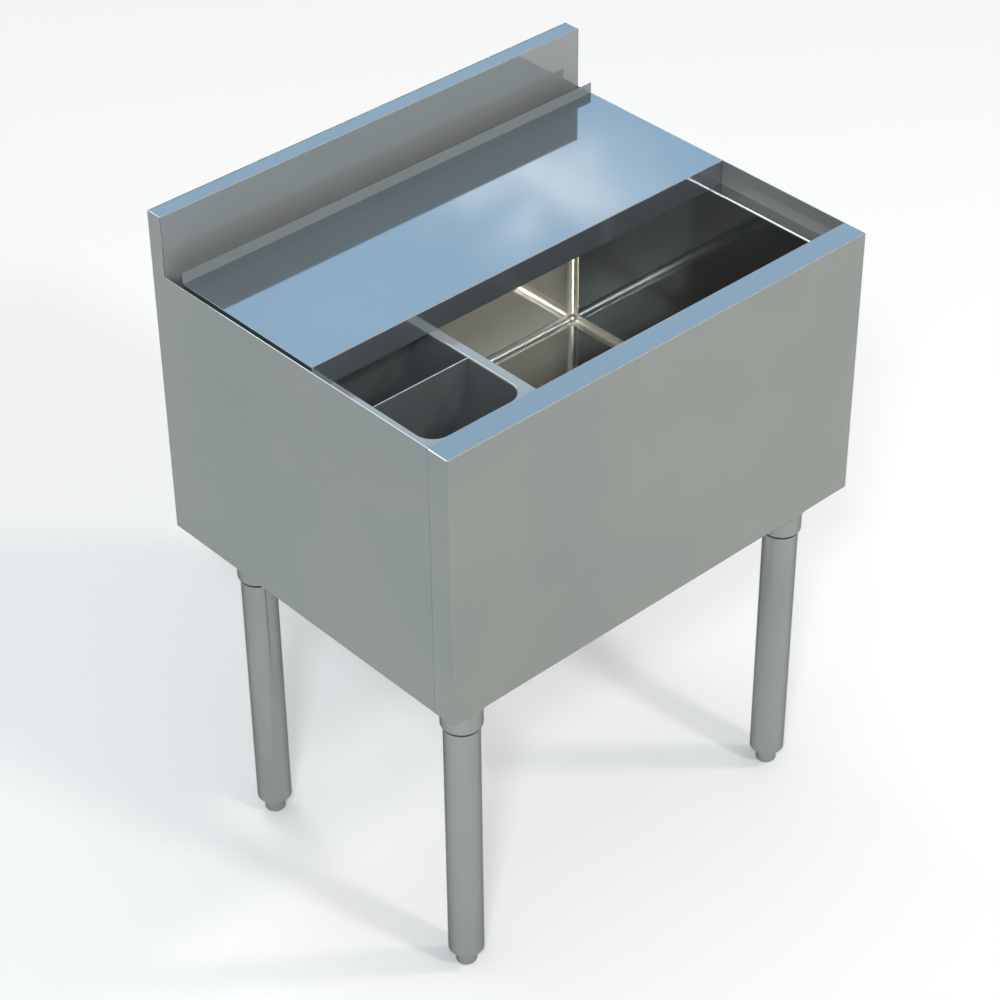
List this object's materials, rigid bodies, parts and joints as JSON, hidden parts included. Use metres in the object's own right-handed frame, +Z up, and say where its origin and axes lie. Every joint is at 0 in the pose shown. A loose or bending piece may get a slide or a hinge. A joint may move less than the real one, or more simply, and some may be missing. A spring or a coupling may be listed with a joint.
{
  "type": "underbar ice bin",
  "caption": "Insulated stainless ice bin on tube legs with levelling feet, a backsplash, a hanging bottle well and a sliding cover, for use under a bar counter.",
  "frame": {"origin": "on the floor, under the middle of the bin's outline", "axes": "+X to the right seen from the front, +Y to the rear, +Z up"},
  "size_m": [0.61, 0.472, 0.805],
  "materials": {
    "panel_steel": "satin brushed stainless sheet",
    "bright_steel": "bright stainless sheet",
    "tube_steel": "satin stainless tube",
    "cast_steel": "satin stainless casting",
    "inner_steel": "plain steel",
    "drain_metal": "plated",
    "foam": "closed-cell insulation foam",
    "nylon": "moulded nylon",
    "gasket": "soft rubber"
  },
  "bodies": {
    "cabinet": {"front_panel": "panel_steel", "left_side_panel": "panel_steel", "right_side_panel": "panel_steel", "back_panel": "panel_steel", "backsplash": "panel_steel", "bottom_panel": "panel_steel", "ice_liner": "bright_steel", "bottle_well": "bright_steel", "bottle_divider": "bright_steel", "leg_front_left": "tube_steel", "leg_front_right": "tube_steel", "leg_rear_left": "tube_steel", "leg_rear_right": "tube_steel", "socket_front_left": "cast_steel", "socket_front_right": "cast_steel", "socket_rear_left": "cast_steel", "socket_rear_right": "cast_steel", "leg_bar_left": "inner_steel", "leg_bar_right": "inner_steel", "socket_bolts": "inner_steel", "socket_nuts": "inner_steel", "socket_set_screws": "inner_steel", "drain_body": "drain_metal", "drain_strainer": "drain_metal", "drain_washer": "drain_metal", "drain_locknut": "drain_metal", "foam_front": "foam", "foam_rear": "foam", "foam_left": "foam", "foam_right": "foam", "foam_floor": "foam", "insert_front_left": "nylon", "insert_front_right": "nylon", "insert_rear_left": "nylon", "insert_rear_right": "nylon", "drain_gasket": "gasket"},
    "cover": {"sliding_cover": "bright_steel"},
    "front_left_foot": {"foot_front_left": "tube_steel"},
    "front_right_foot": {"foot_front_right": "tube_steel"},
    "rear_left_foot": {"foot_rear_left": "tube_steel"},
    "rear_right_foot": {"foot_rear_right": "tube_steel"}
  },
  "joints": [
    {"name": "cover_slide", "type": "slide", "parent": "cabinet", "child": "cover", "axis": [0, 1, 0], "range_m": [-0.1825, 0.022]},
    {"name": "front_left_foot_screw", "type": "slide", "parent": "cabinet", "child": "front_left_foot", "axis": [0, 0, 1], "range_m": [-0.025, 0]},
    {"name": "front_right_foot_screw", "type": "slide", "parent": "cabinet", "child": "front_right_foot", "axis": [0, 0, 1], "range_m": [-0.025, 0]},
    {"name": "rear_left_foot_screw", "type": "slide", "parent": "cabinet", "child": "rear_left_foot", "axis": [0, 0, 1], "range_m": [-0.025, 0]},
    {"name": "rear_right_foot_screw", "type": "slide", "parent": "cabinet", "child": "rear_right_foot", "axis": [0, 0, 1], "range_m": [-0.025, 0]}
  ]
}
